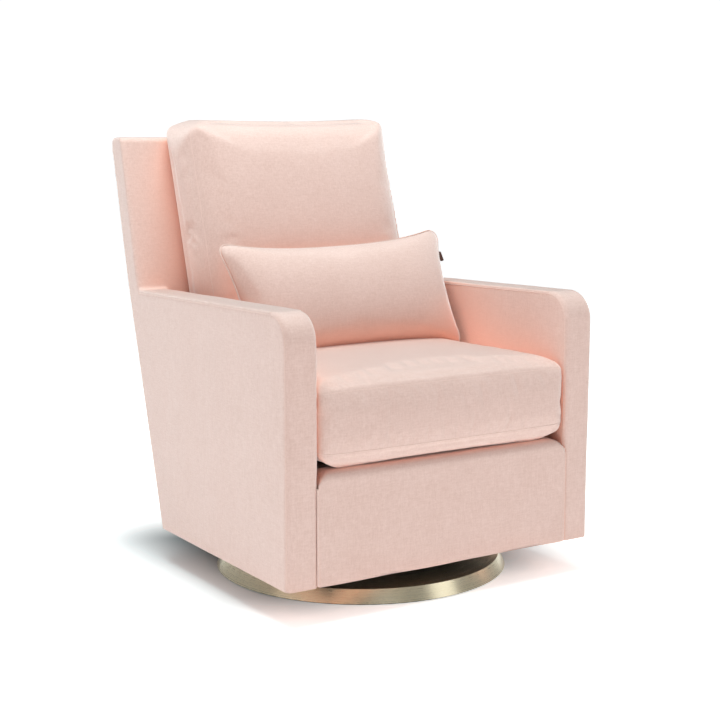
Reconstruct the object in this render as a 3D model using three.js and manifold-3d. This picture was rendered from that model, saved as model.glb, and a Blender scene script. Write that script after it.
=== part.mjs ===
// Upholstered swivel glider chair. Millimetres, +Z up, front towards -Y.
// The origin is on the floor, on the swivel axis at the centre of the round base.
import * as THREE from 'three';
import { mergeVertices } from 'three/addons/utils/BufferGeometryUtils.js';
import Module from 'manifold-3d';

const wasm = await Module();
wasm.setup();

// ---------- driving dimensions ----------
const GAP = 0.4;               // running gap between neighbouring pieces
const CUSHION_GAP = 3;         // loose cushions to the body

const WIDTH = 750;             // over the arms, at the front
const PLAN_TAPER = 0.02;       // how fast each side closes in towards the rear
const FRONT_Y = -320;          // front faces of the arms and the front panel
const UNDERSIDE_Z = 74;        // lowest edge of the upholstered body
const ARM_THICK = 68;
const ARM_TOP_Z = 606;         // at the front; the arm top falls slightly to the rear
const ARM_FALL = 0.0207;
const ARM_CORNER_R = 60;
const BACK_FOOT_Y = 252;       // rear face of the back at the underside
const BACK_TOP_Y = 500;        // rear face of the back at its top
const BACK_TOP_Z = 926;
const BACK_THICK = 58;         // measured front to back

const FRONT_PANEL_TOP_Z = 297;
const FRONT_PANEL_R = 25;
const FRONT_PANEL_DEPTH = 58;
const WALL = 12;               // padding and cover over the frame
const ROUNDING = 14;           // rounding of the padded edges

const SEAT_BOTTOM_Z = 305;
const SEAT_EDGE_Z = 447;       // height of the front seam
const SEAT_CROWN_Z = 482;
const SEAT_REAR_Z = 452;
const SEAT_REAR_Y = 252;
const SEAT_HALF_WIDTH = 303;
const SEAT_R = 16;

const BACK_CUSHION_HALF_WIDTH = 268;
const BACK_CUSHION_THICK = 178;
const BACK_CUSHION_BOTTOM_Z = 476;
const BACK_CUSHION_TOP_Z = 962;
const BACK_CUSHION_R = 26;

const PILLOW = { width: 556, height: 250, thick: 110, swell: 46, x: 8, y: 72, z: 600, lean: 25, roll: 1.3 };

const BASE_R = 316;            // at the floor
const BASE_TOP_R = 302;
const BASE_TOP_Z = 30;
const BASE_SHEET = 3;
const PAD_THICK = 2.6;
const WEIGHT_PLATE_THICK = 6;

const RACE_R = 105;            // pitch circle of the swivel's balls
const RACE_WIDTH = 40;
const BALL_R = 4;
const BALL_Z = 39;
const BALL_COUNT = 14;
const PLATE_Z = 48;            // underside of the swivel plate
const PLATE_THICK = 5;
const KING_R = 8;

const LINK_LENGTH = 123;       // pivot to pivot
const UPPER_PIVOT_Z = 235;
const PIVOT_Y = 110;           // half the distance between front and rear pivots
const GLIDE_LIMIT_DEG = 18;
const PIN_R = 6;
const PIN_HOLE_R = 6.5;
const STAND_X = 186.5;         // inner face of a stand plate
const STAND_THICK = 5;
const LINK_X = 203;            // inner face of a link bar
const LINK_THICK = 6;
const LINK_HALF_WIDTH = 13;
const HUB_X = [198.2, 214.6];  // a link's hubs, between the stand and the hanger
const HANGER_X = 215;
const HANGER_THICK = 4;
const HANGER_HALF_LENGTH = 150;
const HANGER_TOP_Z = 178;
const BUMPER_R = 8;

const RAIL_THICK = 30;         // hardwood seat rails
const RAIL_TOP_Z = 262;
const GABLE_THICK = 18;        // plywood side panels
const GABLE_HOLE_R = 36;
const LAG = { x: 274, y: 120, holeR: 4.6, shankR: 4, headZ: 166, tipZ: 222 };   // rail screws
const SPRING_COUNT = 5;
const WIRE_R = 2;

const HALF = WIDTH / 2;
const LOWER_PIVOT_Z = UPPER_PIVOT_Z - LINK_LENGTH;
const BACK_SLOPE = (BACK_TOP_Y - BACK_FOOT_Y) / (BACK_TOP_Z - UNDERSIDE_Z);
const GLIDE_LIMIT = THREE.MathUtils.degToRad(GLIDE_LIMIT_DEG);
const SIDES = [['left', 1], ['right', -1]];   // the sitter's left is +X
const onSide = (side, xs) => xs.map((x) => side * x).sort((a, b) => a - b);
const ENDS = [['front', -1], ['rear', 1]];

const rearY = (z) => BACK_FOOT_Y + BACK_SLOPE * (z - UNDERSIDE_Z);
const frontY = (z) => rearY(z) - BACK_THICK;
const armTopZ = (y) => ARM_TOP_Z - ARM_FALL * (y - FRONT_Y);

// ---------- materials ----------
const finish = (color, roughness, metalness) =>
  new THREE.MeshStandardMaterial({ color, roughness, metalness });
const blushFabric = () => finish(0xe0c2b8, 0.95, 0);
const darkCloth = () => finish(0x2b2a2a, 0.95, 0);
const greyCloth = () => finish(0xb9b2aa, 0.95, 0);
const champagneMetal = () => finish(0xc9b78f, 0.32, 1);
const blackSteel = () => finish(0x1e1e20, 0.5, 0.6);
const zincSteel = () => finish(0xa9adb1, 0.35, 1);
const springSteel = () => finish(0x6d6f73, 0.4, 1);
const hardwood = () => finish(0xc39a6b, 0.7, 0);
const plywood = () => finish(0xd2b48a, 0.75, 0);
const rubber = () => finish(0x161616, 0.85, 0);

// ---------- geometry helpers ----------
// A closed three.js geometry as a manifold-3d solid.
function solid(geometry) {
  const bare = geometry.clone();
  bare.deleteAttribute('normal');
  bare.deleteAttribute('uv');
  const merged = mergeVertices(bare, 1e-4);
  return new wasm.Manifold(new wasm.Mesh({
    numProp: 3,
    vertProperties: merged.attributes.position.array,
    triVerts: new Uint32Array(merged.index.array),
  }));
}

// A manifold-3d solid as a three.js geometry.
function geometryOf(made) {
  const { vertProperties, triVerts } = made.getMesh();
  const geometry = new THREE.BufferGeometry();
  geometry.setAttribute('position', new THREE.BufferAttribute(vertProperties, 3));
  geometry.setIndex(new THREE.BufferAttribute(triVerts, 1));
  const flat = geometry.toNonIndexed();
  flat.computeVertexNormals();
  return flat;
}

const cut = (body, ...tools) =>
  geometryOf(tools.reduce((left, tool) => left.subtract(solid(tool)), solid(body)));
const join = (body, ...more) =>
  geometryOf(more.reduce((whole, part) => whole.add(solid(part)), solid(body)));

const box = ([x0, x1], [y0, y1], [z0, z1]) =>
  new THREE.BoxGeometry(x1 - x0, y1 - y0, z1 - z0)
    .translate((x0 + x1) / 2, (y0 + y1) / 2, (z0 + z1) / 2);

const outline = (points) => new THREE.Shape(points.map(([a, b]) => new THREE.Vector2(a, b)));

// A full circle, counterclockwise: a hole as a THREE.Path, or an outline as a THREE.Shape.
const circle = (a, b, r, Kind = THREE.Path) => new Kind().absarc(a, b, r, 0, 2 * Math.PI, false);

// An outline in Y and Z, extruded along X from x0 to x1.
function alongX(shape, [x0, x1], options = {}) {
  const geometry = new THREE.ExtrudeGeometry(shape, {
    depth: x1 - x0, bevelEnabled: false, curveSegments: 6, ...options,
  });
  const turn = new THREE.Matrix4().makeBasis(
    new THREE.Vector3(0, 1, 0), new THREE.Vector3(0, 0, 1), new THREE.Vector3(1, 0, 0));
  return geometry.applyMatrix4(turn).translate(x0, 0, 0);
}

// An outline in Y and Z as a padded slab, its edges rounded by r and its faces at x0 and x1.
const paddedAlongX = (shape, [x0, x1], r) => alongX(shape, [x0 + r, x1 - r], {
  bevelEnabled: true, bevelThickness: r, bevelSize: r, bevelOffset: -r, bevelSegments: 3,
});

// An outline in X and Y, extruded up from z0 to z1.
const upwards = (shape, [z0, z1], options = {}) =>
  new THREE.ExtrudeGeometry(shape, {
    depth: z1 - z0, bevelEnabled: false, curveSegments: 12, ...options,
  }).translate(0, 0, z0);

// A profile of [radius, height] pairs turned about Z.
const turned = (points, segments = 24) =>
  new THREE.LatheGeometry(points.map(([r, z]) => new THREE.Vector2(r, z)), segments)
    .rotateX(Math.PI / 2);

// Closes the plan in towards the rear, as the whole body does.
function tapered(geometry) {
  const at = geometry.attributes.position;
  for (let i = 0; i < at.count; i += 1) {
    const share = 1 - PLAN_TAPER * (at.getY(i) - FRONT_Y) / HALF;
    at.setX(i, at.getX(i) * share);
  }
  return geometry;
}

const object = new THREE.Group();
const add = (name, geometry, material) => {
  const mesh = new THREE.Mesh(geometry, material);
  mesh.name = name;
  object.add(mesh);
  return mesh;
};

// ---------- round base ----------
function addBase() {
  const bottom = PAD_THICK + GAP;
  const plateTop = bottom + WEIGHT_PLATE_THICK;
  const sheetZ = BASE_TOP_Z - BASE_SHEET;
  const boltHole = KING_R + GAP;
  add('floor_pad', new THREE.CylinderGeometry(BASE_R - 6, BASE_R - 6, PAD_THICK, 64)
    .rotateX(Math.PI / 2).translate(0, 0, PAD_THICK / 2), rubber());
  add('base_weight_plate', new THREE.CylinderGeometry(BASE_R - 12, BASE_R - 12, WEIGHT_PLATE_THICK, 64)
    .rotateX(Math.PI / 2).translate(0, 0, bottom + WEIGHT_PLATE_THICK / 2), blackSteel());
  add('base_cover', turned([
    [boltHole, sheetZ], [BASE_TOP_R - BASE_SHEET, sheetZ], [BASE_R - BASE_SHEET, bottom],
    [BASE_R, bottom], [BASE_TOP_R, BASE_TOP_Z], [boltHole, BASE_TOP_Z], [boltHole, sheetZ],
  ], 72), champagneMetal());
  const flangeTop = plateTop + GAP + 5;
  add('king_bolt', turned([
    [0, plateTop + GAP], [26, plateTop + GAP], [26, flangeTop], [KING_R, flangeTop],
    [KING_R, 66], [0, 66],
  ]), zincSteel());
}

// One race of the swivel bearing: a flat ring with a shallow groove that faces the balls.
function race(backZ, faceZ) {
  const towards = Math.sign(faceZ - backZ);
  const half = RACE_WIDTH / 2;
  const points = [
    [RACE_R - half, backZ], [RACE_R + half, backZ], [RACE_R + half, faceZ], [RACE_R + BALL_R, faceZ],
    [RACE_R, faceZ - towards * 1.7], [RACE_R - BALL_R, faceZ], [RACE_R - half, faceZ],
    [RACE_R - half, backZ],
  ];
  return turned(towards > 0 ? points : points.reverse(), 48);
}

// The cage and its captive balls, which roll round at half the swivel's speed.
function ballCage() {
  const half = BALL_R + 4;
  const ring = turned([
    [RACE_R - half, BALL_Z - 1], [RACE_R + half, BALL_Z - 1], [RACE_R + half, BALL_Z + 1],
    [RACE_R - half, BALL_Z + 1], [RACE_R - half, BALL_Z - 1],
  ], 28);
  const balls = Array.from({ length: BALL_COUNT }, (_, i) => {
    const angle = 2 * Math.PI * i / BALL_COUNT;
    return new THREE.SphereGeometry(BALL_R, 8, 5)
      .translate(RACE_R * Math.cos(angle), RACE_R * Math.sin(angle), BALL_Z);
  });
  return join(ring, ...balls);
}

function addSwivel() {
  const raceFace = 3;
  add('bearing_lower_race', race(BASE_TOP_Z + GAP, BALL_Z - raceFace), zincSteel());
  add('bearing_ball_cage', ballCage(), zincSteel());
  add('bearing_upper_race', race(PLATE_Z - GAP, BALL_Z + raceFace), zincSteel());

  const plate = new THREE.Shape();
  const [px, py, corner] = [200, 128, 40];
  plate.moveTo(px, py - corner).lineTo(px - corner, py).lineTo(corner - px, py);
  plate.lineTo(-px, py - corner).lineTo(-px, corner - py).lineTo(corner - px, -py);
  plate.lineTo(px - corner, -py).lineTo(px, corner - py).closePath();
  plate.holes.push(circle(0, 0, KING_R + 3));
  const plateTop = PLATE_Z + PLATE_THICK;
  add('swivel_plate', upwards(plate, [PLATE_Z, plateTop]), blackSteel());

  const hexagon = outline(Array.from({ length: 6 }, (_, i) =>
    [15 * Math.cos(i * Math.PI / 3), 15 * Math.sin(i * Math.PI / 3)]));
  hexagon.holes.push(circle(0, 0, KING_R + GAP + 0.1));
  add('king_nut', upwards(hexagon, [plateTop + GAP, plateTop + 10]), zincSteel());
}

// ---------- glide mechanism ----------
// A steel stand: an upright plate with a foot that is bolted to the swivel plate.
function stand(side) {
  const footZ = PLATE_Z + PLATE_THICK + GAP;
  const [footHalf, topHalf, topZ] = [118, PIVOT_Y + 16, UPPER_PIVOT_Z + 15];
  const upright = outline([
    [-footHalf, footZ], [footHalf, footZ], [topHalf, topZ - 40], [topHalf, topZ - 8],
    [topHalf - 8, topZ], [8 - topHalf, topZ], [-topHalf, topZ - 8], [-topHalf, topZ - 40],
  ]);
  upright.holes.push(circle(-PIVOT_Y, UPPER_PIVOT_Z, PIN_HOLE_R), circle(PIVOT_Y, UPPER_PIVOT_Z, PIN_HOLE_R));
  const foot = box(onSide(side, [STAND_X - 34, STAND_X + 1]), [-footHalf, footHalf],
    [footZ, footZ + STAND_THICK]);
  return join(alongX(upright, onSide(side, [STAND_X, STAND_X + STAND_THICK])), foot);
}

// A shoulder bolt along X. Its profile lists [radius, x], from the head to the far end.
const shoulderBolt = (side, profile) =>
  turned([[0, profile[0][1]], ...profile, [0, profile.at(-1)[1]]], 12)
    .rotateY(side * Math.PI / 2);

// A link: a flat bar with a hub and a through hole at each pivot.
function link(side) {
  const bar = new THREE.Shape();
  bar.absarc(0, UPPER_PIVOT_Z, LINK_HALF_WIDTH, 0, Math.PI, false);
  bar.absarc(0, LOWER_PIVOT_Z, LINK_HALF_WIDTH, Math.PI, 2 * Math.PI, false);
  bar.closePath();
  const hubs = [];
  const bores = [];
  [UPPER_PIVOT_Z, LOWER_PIVOT_Z].forEach((z) => {
    hubs.push(alongX(circle(0, z, LINK_HALF_WIDTH - 1, THREE.Shape), onSide(side, HUB_X)));
    bores.push(alongX(circle(0, z, PIN_HOLE_R, THREE.Shape), onSide(side, [HUB_X[0] - 1, HUB_X[1] + 1])));
  });
  const blank = join(alongX(bar, onSide(side, [LINK_X, LINK_X + LINK_THICK])), ...hubs);
  return cut(blank, ...bores);
}

// An angle that carries the seat rail on its flange and hangs on the links' lower pivots.
function hanger(side) {
  const leg = outline([
    [-HANGER_HALF_LENGTH, LOWER_PIVOT_Z + 20], [-PIVOT_Y - 14, LOWER_PIVOT_Z - 14],
    [PIVOT_Y + 14, LOWER_PIVOT_Z - 14], [HANGER_HALF_LENGTH, LOWER_PIVOT_Z + 20],
    [HANGER_HALF_LENGTH, HANGER_TOP_Z], [-HANGER_HALF_LENGTH, HANGER_TOP_Z],
  ]);
  leg.holes.push(circle(-PIVOT_Y, LOWER_PIVOT_Z, PIN_HOLE_R), circle(PIVOT_Y, LOWER_PIVOT_Z, PIN_HOLE_R));
  const flange = box(onSide(side, [HANGER_X + 1, 288]), [-HANGER_HALF_LENGTH, HANGER_HALF_LENGTH],
    [HANGER_TOP_Z - HANGER_THICK, HANGER_TOP_Z]);
  const angle = join(alongX(leg, onSide(side, [HANGER_X, HANGER_X + HANGER_THICK])), flange);
  return cut(angle, ...ENDS.map(([, end]) => lagHole(side, end)));
}

const lagHole = (side, end) =>
  upwards(circle(side * LAG.x, end * LAG.y, LAG.holeR, THREE.Shape), [HANGER_TOP_Z - 20, LAG.tipZ + 2]);

function addGlide() {
  const standOuter = STAND_X + STAND_THICK;
  const hangerOuter = HANGER_X + HANGER_THICK;
  const upperProfile = [
    [11, STAND_X - 6], [11, STAND_X - GAP], [PIN_R, STAND_X - GAP], [PIN_R, standOuter + GAP],
    [9, standOuter + GAP], [9, HUB_X[0] - GAP], [PIN_R, HUB_X[0] - GAP], [PIN_R, HUB_X[1] + GAP],
    [9, HUB_X[1] + GAP], [9, HUB_X[1] + 4],
  ];
  const lowerProfile = [
    [9, HUB_X[0] - 4], [9, HUB_X[0] - GAP], [PIN_R, HUB_X[0] - GAP], [PIN_R, hangerOuter + GAP],
    [11, hangerOuter + GAP], [11, hangerOuter + 6],
  ];
  // The bumper touches the link's edge at the end of the glide, just below the middle of the link.
  const along = 0.57 * LINK_LENGTH;
  const reach = LINK_HALF_WIDTH + BUMPER_R + GAP;
  const bumperIn = along * Math.sin(GLIDE_LIMIT) + reach * Math.cos(GLIDE_LIMIT);
  const bumperDown = along * Math.cos(GLIDE_LIMIT) - reach * Math.sin(GLIDE_LIMIT);

  SIDES.forEach(([sideName, side]) => {
    add(`glide_stand_${sideName}`, stand(side), blackSteel());
    add(`hanger_rail_${sideName}`, hanger(side), blackSteel());
    ENDS.forEach(([endName, end]) => {
      const tag = `${endName}_${sideName}`;
      add(`glide_link_${tag}`, link(side).translate(0, end * PIVOT_Y, 0), zincSteel());
      add(`upper_pivot_bolt_${tag}`,
        shoulderBolt(side, upperProfile).translate(0, end * PIVOT_Y, UPPER_PIVOT_Z), zincSteel());
      add(`lower_pivot_bolt_${tag}`,
        shoulderBolt(side, lowerProfile).translate(0, end * PIVOT_Y, LOWER_PIVOT_Z), zincSteel());
      add(`stop_bumper_${tag}`,
        shoulderBolt(side, [[BUMPER_R, standOuter + GAP], [BUMPER_R, LINK_X + LINK_THICK + 2]])
          .translate(0, end * (PIVOT_Y - bumperIn), UPPER_PIVOT_Z - bumperDown), rubber());
      add(`rail_screw_${tag}`, turned([
        [0, LAG.headZ], [8, LAG.headZ], [8, HANGER_TOP_Z - HANGER_THICK - GAP],
        [LAG.shankR, HANGER_TOP_Z - HANGER_THICK - GAP], [LAG.shankR, LAG.tipZ], [0, LAG.tipZ],
      ], 12).translate(side * LAG.x, end * LAG.y, 0), zincSteel());
    });
  });
  ENDS.forEach(([endName, end]) => {
    const tube = circle(end * 58, 178, 11, THREE.Shape);
    tube.holes.push(circle(end * 58, 178, 9));
    add(`cross_tie_${endName}`, alongX(tube, [GAP - STAND_X, STAND_X - GAP]), blackSteel());
  });
}

// ---------- timber frame ----------
// A band of the back between two heights, set in from its faces and sides.
const backBand = (z0, z1, inset, halfWidth) => alongX(outline([
  [frontY(z0) + inset, z0], [rearY(z0) - inset, z0], [rearY(z1) - inset, z1], [frontY(z1) + inset, z1],
]), [-halfWidth, halfWidth]);

// Outline of a plywood side: arm panel and back post in one, grown outwards by g.
function gableOutline(g, bottomZ) {
  const [inset, topZ, armZ] = [WALL + 4 - g, BACK_TOP_Z - 22 + g, ARM_TOP_Z - 34 + g];
  const armRearY = frontY(armZ) + inset;
  return outline([
    [FRONT_Y + inset, bottomZ], [rearY(bottomZ) - inset, bottomZ], [rearY(topZ) - inset, topZ],
    [frontY(topZ) + inset, topZ], [armRearY, armZ - 0.03 * armRearY],
    [FRONT_Y + 50, armZ], [FRONT_Y + inset, armZ - 46],
  ]);
}

const GABLE_X = HALF - ARM_THICK / 2;
const gableXs = (side, thick) => [side * GABLE_X - thick / 2, side * GABLE_X + thick / 2];

function gable(side) {
  const panel = gableOutline(0, UNDERSIDE_Z + 6);
  [-210, -70, 70, 185].forEach((y) => panel.holes.push(circle(y, 230, GABLE_HOLE_R)));
  [-180, -40, 100, 225].forEach((y) => panel.holes.push(circle(y, 430, GABLE_HOLE_R)));
  return tapered(alongX(panel, gableXs(side, GABLE_THICK)));
}

const gablePocket = (side) =>
  tapered(alongX(gableOutline(3, UNDERSIDE_Z - 10), gableXs(side, GABLE_THICK + 5)));

function addTimber() {
  const [railFrontY, railRearY, railHalf, railBottomZ] = [FRONT_Y + 20, 222, 286, HANGER_TOP_Z + GAP];
  const sideRailX = [258, 258 + RAIL_THICK];
  SIDES.forEach(([sideName, side]) => {
    add(`side_panel_${sideName}`, gable(side), plywood());
    const rail = box(onSide(side, sideRailX), [railFrontY + RAIL_THICK + GAP, railRearY - RAIL_THICK - GAP],
      [railBottomZ, RAIL_TOP_Z]);
    add(`seat_rail_${sideName}`, cut(rail, ...ENDS.map(([, end]) => lagHole(side, end))), hardwood());
  });
  add('front_rail', box([-railHalf - 8, railHalf + 8], [railFrontY, railFrontY + RAIL_THICK],
    [railBottomZ, RAIL_TOP_Z]), hardwood());
  add('front_apron_rail', box([-railHalf - 8, railHalf + 8], [railFrontY, railFrontY + 20],
    [UNDERSIDE_Z + 8, UNDERSIDE_Z + 58]), hardwood());
  add('rear_rail', box([-railHalf, railHalf], [railRearY - RAIL_THICK, railRearY],
    [railBottomZ, RAIL_TOP_Z]), hardwood());
  add('back_top_rail', tapered(backBand(838, BACK_TOP_Z - 22, 16, GABLE_X - GABLE_THICK / 2 - 1)),
    hardwood());
  add('back_lumbar_rail', tapered(backBand(540, 600, 16, GABLE_X - GABLE_THICK / 2 - 1)), hardwood());
}

// ---------- seat springs ----------
// A sinuous spring: wire that snakes from side to side along an arched run from front to rear rail.
class SinuousLine extends THREE.Curve {
  constructor(x, y0, y1, z, rise, waves) {
    super();
    Object.assign(this, { x, y0, y1, z, rise, waves });
  }

  getPoint(t, target = new THREE.Vector3()) {
    const sway = 20 * Math.sin(2 * Math.PI * this.waves * t);
    return target.set(this.x + sway, this.y0 + (this.y1 - this.y0) * t,
      this.z + this.rise * Math.sin(Math.PI * t));
  }
}

function addSprings() {
  const wire = outline([[WIRE_R, 0], [0, WIRE_R], [-WIRE_R, 0], [0, -WIRE_R]]);
  for (let i = 0; i < SPRING_COUNT; i += 1) {
    const x = (i - (SPRING_COUNT - 1) / 2) * 105;
    const run = new SinuousLine(x, FRONT_Y + 30, 212, RAIL_TOP_Z + WIRE_R + GAP, 12, 7);
    add(`seat_spring_${i + 1}`,
      new THREE.ExtrudeGeometry(wire, { steps: 42, extrudePath: run, bevelEnabled: false }),
      springSteel());
  }
}

// ---------- upholstered covers ----------
function armCover(side) {
  const shape = new THREE.Shape();
  const rearTop = frontY(armTopZ(420)) - GAP;
  shape.moveTo(FRONT_Y, UNDERSIDE_Z).lineTo(frontY(UNDERSIDE_Z) - GAP, UNDERSIDE_Z);
  shape.lineTo(rearTop, armTopZ(rearTop)).lineTo(FRONT_Y + ARM_CORNER_R, ARM_TOP_Z);
  shape.absarc(FRONT_Y + ARM_CORNER_R, ARM_TOP_Z - ARM_CORNER_R, ARM_CORNER_R, Math.PI / 2, Math.PI, false);
  shape.closePath();
  const xs = onSide(side, [HALF - ARM_THICK, HALF]);
  return cut(tapered(paddedAlongX(shape, xs, ROUNDING)), gablePocket(side));
}

// The front panel: a padded board that turns back over the front rail at its top.
function frontCover() {
  const [y0, y1, r] = [FRONT_Y, FRONT_Y + FRONT_PANEL_DEPTH, FRONT_PANEL_R];
  const [top, half] = [FRONT_PANEL_TOP_Z, HALF - ARM_THICK - 2];
  const shape = new THREE.Shape();
  shape.moveTo(y0, UNDERSIDE_Z).lineTo(y0 + WALL, UNDERSIDE_Z).lineTo(y0 + WALL, top - r);
  shape.absarc(y0 + r, top - r, r - WALL, Math.PI, Math.PI / 2, true);
  shape.lineTo(y1, top - WALL).lineTo(y1, top).lineTo(y0 + r, top);
  shape.absarc(y0 + r, top - r, r, Math.PI / 2, Math.PI, false);
  shape.closePath();
  return tapered(alongX(shape, [-half, half]));
}

// The back: a padded shell over posts and rails, open underneath, with slots for the side panels.
function backCover() {
  const [inset, cavityTop] = [WALL - 1, BACK_TOP_Z - 14];
  const slab = outline([
    [frontY(UNDERSIDE_Z), UNDERSIDE_Z], [rearY(UNDERSIDE_Z), UNDERSIDE_Z],
    [rearY(BACK_TOP_Z), BACK_TOP_Z], [frontY(BACK_TOP_Z), BACK_TOP_Z],
  ]);
  const outer = tapered(paddedAlongX(slab, [-HALF, HALF], ROUNDING));
  const cavity = tapered(backBand(UNDERSIDE_Z - 10, cavityTop, inset, GABLE_X + GABLE_THICK / 2 + 2.5));
  return cut(outer, cavity, gablePocket(1), gablePocket(-1));
}

function seatDeck() {
  const [z0, z1] = [284, 289];
  const half = HALF - ARM_THICK - 4;
  return tapered(box([-half, half], [FRONT_Y + FRONT_PANEL_DEPTH + 1, frontY(z0) - 1], [z0, z1]));
}

// The dust cloth underneath, open in the middle where the glide mechanism swings.
function dustCover() {
  const [half, y0, y1] = [292, FRONT_Y + WALL + 2, frontY(UNDERSIDE_Z) - 2];
  const sheet = outline([[-half, y0], [half, y0], [half - 8, y1], [8 - half, y1]]);
  sheet.holes.push(new THREE.Path([[-208, -178], [-208, 178], [208, 178], [208, -178]]
    .map(([x, y]) => new THREE.Vector2(x, y))));
  return upwards(sheet, [UNDERSIDE_Z + 1, UNDERSIDE_Z + 3]);
}

function addCovers() {
  SIDES.forEach(([sideName, side]) => add(`arm_cover_${sideName}`, armCover(side), blushFabric()));
  add('front_cover', frontCover(), blushFabric());
  add('back_cover', backCover(), blushFabric());
  add('seat_deck', seatDeck(), greyCloth());
  add('dust_cover', dustCover(), darkCloth());
}

// ---------- loose cushions ----------
function seatCushion() {
  const front = FRONT_Y - CUSHION_GAP;
  const shape = new THREE.Shape();
  shape.moveTo(front, SEAT_BOTTOM_Z).lineTo(SEAT_REAR_Y, SEAT_BOTTOM_Z).lineTo(SEAT_REAR_Y, SEAT_REAR_Z);
  shape.bezierCurveTo(80, SEAT_CROWN_Z - 16, -190, SEAT_CROWN_Z + 22, front, SEAT_EDGE_Z);
  shape.closePath();
  return tapered(paddedAlongX(shape, [-SEAT_HALF_WIDTH, SEAT_HALF_WIDTH], SEAT_R));
}

// The back cushion leans on the back, and stands on the seat cushion.
function backCushion() {
  const [z0, z1] = [BACK_CUSHION_BOTTOM_Z, BACK_CUSHION_TOP_Z];
  const rear = (z) => frontY(z) - CUSHION_GAP;
  const shape = outline([
    [rear(z0) - BACK_CUSHION_THICK, z0], [rear(z0), z0], [rear(z1), z1],
    [rear(z1) - BACK_CUSHION_THICK, z1],
  ]);
  return paddedAlongX(shape, [-BACK_CUSHION_HALF_WIDTH, BACK_CUSHION_HALF_WIDTH], BACK_CUSHION_R);
}

// A lens-shaped pillow: flat rim outline, swelling to its full thickness in the middle.
function lumbarPillow() {
  const { width, height, thick, swell } = PILLOW;
  const rim = outline([
    [-width / 2, -height / 2], [width / 2, -height / 2], [width / 2, height / 2], [-width / 2, height / 2],
  ]);
  return new THREE.ExtrudeGeometry(rim, {
    depth: 14, bevelEnabled: true, bevelThickness: thick / 2 - 7, bevelSize: swell,
    bevelOffset: -swell, bevelSegments: 4, curveSegments: 6,
  }).translate(0, 0, -7).rotateX(Math.PI / 2);
}

function addCushions() {
  add('seat_cushion', seatCushion(), blushFabric());
  add('back_cushion', backCushion(), blushFabric());
  const pillow = add('lumbar_pillow', lumbarPillow(), blushFabric());
  pillow.position.set(PILLOW.x, PILLOW.y, PILLOW.z);
  pillow.rotation.order = 'XYZ';
  pillow.rotation.set(THREE.MathUtils.degToRad(-PILLOW.lean), THREE.MathUtils.degToRad(-PILLOW.roll), 0);
}

addBase();
addSwivel();
addGlide();
addTimber();
addSprings();
addCovers();
addCushions();

export default object;
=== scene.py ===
"""Upholstered swivel glider chair: the looks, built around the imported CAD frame.
Metres, +Z up, the sitter faces -Y, and the origin is on the floor on the swivel axis."""

import math

import bmesh
import bpy
import numpy as np
from mathutils import Matrix, Vector
from mathutils.bvhtree import BVHTree


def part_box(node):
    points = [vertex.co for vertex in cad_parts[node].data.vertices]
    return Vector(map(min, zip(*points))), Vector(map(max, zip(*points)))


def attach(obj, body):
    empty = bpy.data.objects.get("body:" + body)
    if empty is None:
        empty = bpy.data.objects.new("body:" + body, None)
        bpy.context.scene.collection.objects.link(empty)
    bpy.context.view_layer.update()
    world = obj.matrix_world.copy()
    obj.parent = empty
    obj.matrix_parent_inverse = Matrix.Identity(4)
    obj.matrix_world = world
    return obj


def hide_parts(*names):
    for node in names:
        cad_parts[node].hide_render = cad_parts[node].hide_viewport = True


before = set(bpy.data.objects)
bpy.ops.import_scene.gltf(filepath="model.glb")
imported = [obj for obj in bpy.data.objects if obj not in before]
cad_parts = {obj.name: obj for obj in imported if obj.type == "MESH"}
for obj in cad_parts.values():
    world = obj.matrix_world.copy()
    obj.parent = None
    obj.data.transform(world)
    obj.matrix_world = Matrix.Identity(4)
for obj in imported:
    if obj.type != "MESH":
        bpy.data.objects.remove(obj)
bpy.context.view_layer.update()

# ---------- driving dimensions ----------
ARM_LOW, ARM_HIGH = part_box("arm_cover_left")
BACK_LOW, BACK_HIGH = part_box("back_cover")
SEAT_LOW, SEAT_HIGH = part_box("seat_cushion")
CUSHION_LOW, CUSHION_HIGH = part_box("back_cushion")
_, PANEL_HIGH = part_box("front_cover")

HALF = 0.375                 # half the width over the arms, at the front
PLAN_TAPER = 0.02            # how fast each side closes in towards the rear
ARM_THICK = 0.070
ARM_FALL = 0.0207            # the arm top falls slightly to the rear
ARM_CORNER_R = 0.060
BACK_THICK = 0.058           # measured front to back
BACK_NARROWING = 0.02        # share of its width that the back loses from arm top to back top
BODY_EDGE_R = 0.015          # rounding of the back's padded edges
ARM_EDGE_R = 0.010           # rounding of the arms' padded edges
FRONT_Y = ARM_LOW.y
UNDERSIDE_Z = ARM_LOW.z
ARM_TOP_Z = ARM_HIGH.z
BACK_TOP_Z = BACK_HIGH.z
BACK_SLOPE = (BACK_HIGH.y - BACK_LOW.y - BACK_THICK) / (BACK_TOP_Z - UNDERSIDE_Z)
SIDES = (("left", 1), ("right", -1))

PANEL_TOP_Z = PANEL_HIGH.z + 0.0005

SEAT_HALF = 0.3035
SEAT_BOTTOM_Z = SEAT_LOW.z - 0.004
SEAT_EDGE_Z = 0.460          # top of the boxing, before the crown
SEAT_UPPER_SEAM_Z = 0.450
SEAT_SEAM_Z = 0.328          # lower seam
SEAT_CROWN = 0.020
SEAT_CORNER_R = 0.020
PLATFORM_CHANNELS = 6        # quilted channels of the platform under the seat cushion

CUSHION_CENTRE_X = 0.005     # the back cushion sits slightly off the middle
CUSHION_HALF = CUSHION_HIGH.x - 0.001

PILLOW_HALF_WIDTH = 0.288
PILLOW_HALF_HEIGHT = 0.149
PILLOW_CORNER_R = 0.040
PILLOW_THICK = 0.112
PILLOW_CENTRE = Vector((0.010, 0.070, 0.582))
PILLOW_LEAN = math.radians(25.0)
PILLOW_ROLL = math.radians(1.3)

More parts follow.
